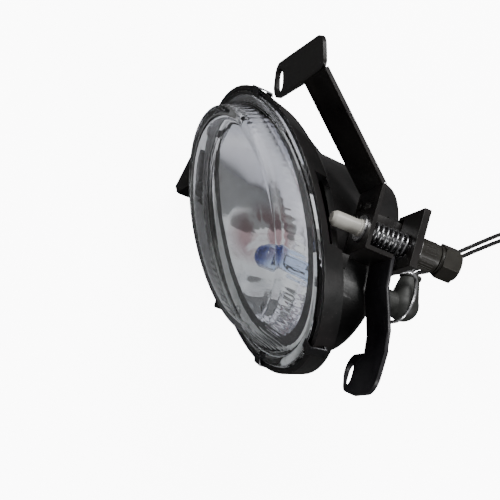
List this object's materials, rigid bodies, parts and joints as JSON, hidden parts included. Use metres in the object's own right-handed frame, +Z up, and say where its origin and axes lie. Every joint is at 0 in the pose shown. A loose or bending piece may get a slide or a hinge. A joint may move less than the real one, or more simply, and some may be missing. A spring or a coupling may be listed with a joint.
{
  "type": "fog light",
  "caption": "Round clear-lens front fog lamp on a black pressed-steel bracket with slotted tabs, a spring-loaded beam adjuster and a rubber-booted cable.",
  "frame": {"origin": "midway between the centres of the two mounting slots", "axes": "-Y is the beam's direction, +Z is up towards the beam adjuster, +X is towards the side where the lens is swept back"},
  "size_m": [0.141, 0.2435, 0.1352],
  "materials": {
    "bracket_plate": "black enamel",
    "upper_arm": "black enamel",
    "lower_arm": "black enamel",
    "pivot_yoke": "black enamel",
    "yoke_rivets": "black enamel",
    "hinge_pins": "zinc plated",
    "adjuster_nut": "natural nylon",
    "nut_retainer": "zinc plated",
    "adjuster_spring": "oiled spring steel",
    "housing": "moulded, satin",
    "adjuster_lug": "black enamel",
    "lug_rivets": "zinc plated",
    "hinge_bushes": "natural nylon",
    "lens": "clear moulded",
    "lens_seal": "satin",
    "lens_clips": "blackened",
    "reflector": "vacuum metallised",
    "reflector_screws": "plated",
    "bulb_glass": "clear quartz, blue tint",
    "bulb_filament": "tungsten",
    "bulb_base": "satin",
    "bulb_holder": "moulded",
    "holder_seal": "satin",
    "terminals": "tinned",
    "boot": "satin",
    "bail_clip": "bright",
    "breather_cap": "satin",
    "seat_washer": "zinc plated",
    "thrust_sleeve": "moulded",
    "adjuster_screw": "zinc plated",
    "adjuster_knob": "moulded",
    "wire_upper": "PVC sleeve",
    "wire_lower": "PVC sleeve",
    "wire_plug": "moulded",
    "plug_latch": "moulded"
  },
  "bodies": {
    "bracket": {"bracket_plate": "bracket_plate", "upper_arm": "upper_arm", "lower_arm": "lower_arm", "pivot_yoke": "pivot_yoke", "yoke_rivets": "yoke_rivets", "hinge_pins": "hinge_pins", "adjuster_nut": "adjuster_nut", "nut_retainer": "nut_retainer", "adjuster_spring": "adjuster_spring"},
    "lamp": {"housing": "housing", "adjuster_lug": "adjuster_lug", "lug_rivets": "lug_rivets", "hinge_bushes": "hinge_bushes", "lens": "lens", "lens_seal": "lens_seal", "lens_clips": "lens_clips", "reflector": "reflector", "reflector_screws": "reflector_screws", "bulb_glass": "bulb_glass", "bulb_filament": "bulb_filament", "bulb_base": "bulb_base", "bulb_holder": "bulb_holder", "holder_seal": "holder_seal", "terminals": "terminals", "boot": "boot", "bail_clip": "bail_clip", "breather_cap": "breather_cap", "wire_upper": "wire_upper", "wire_lower": "wire_lower", "wire_plug": "wire_plug", "plug_latch": "plug_latch"},
    "seat": {"seat_washer": "seat_washer", "thrust_sleeve": "thrust_sleeve"},
    "screw": {"adjuster_screw": "adjuster_screw", "adjuster_knob": "adjuster_knob"}
  },
  "joints": [
    {"name": "lamp_tilt", "type": "hinge", "parent": "bracket", "child": "lamp", "pos_m": [-0.0015, 0.0035, -0.08], "axis": [1, 0, 0], "range_deg": [-2, 2], "deforming": ["adjuster_spring"]},
    {"name": "seat_slide", "type": "slide", "parent": "bracket", "child": "seat", "axis": [0, 1, 0], "range_m": [-0.0041, 0.0041]},
    {"name": "screw_turn", "type": "hinge", "parent": "seat", "child": "screw", "pos_m": [0.0055, 0.035, 0.035], "axis": [0, 1, 0], "range_deg": [-730, 730]}
  ],
  "couplings": [
    {"joint": "seat_slide", "follows": "lamp_tilt", "m_per_rad": -0.115},
    {"joint": "screw_turn", "follows": "lamp_tilt", "ratio": -361.28}
  ]
}
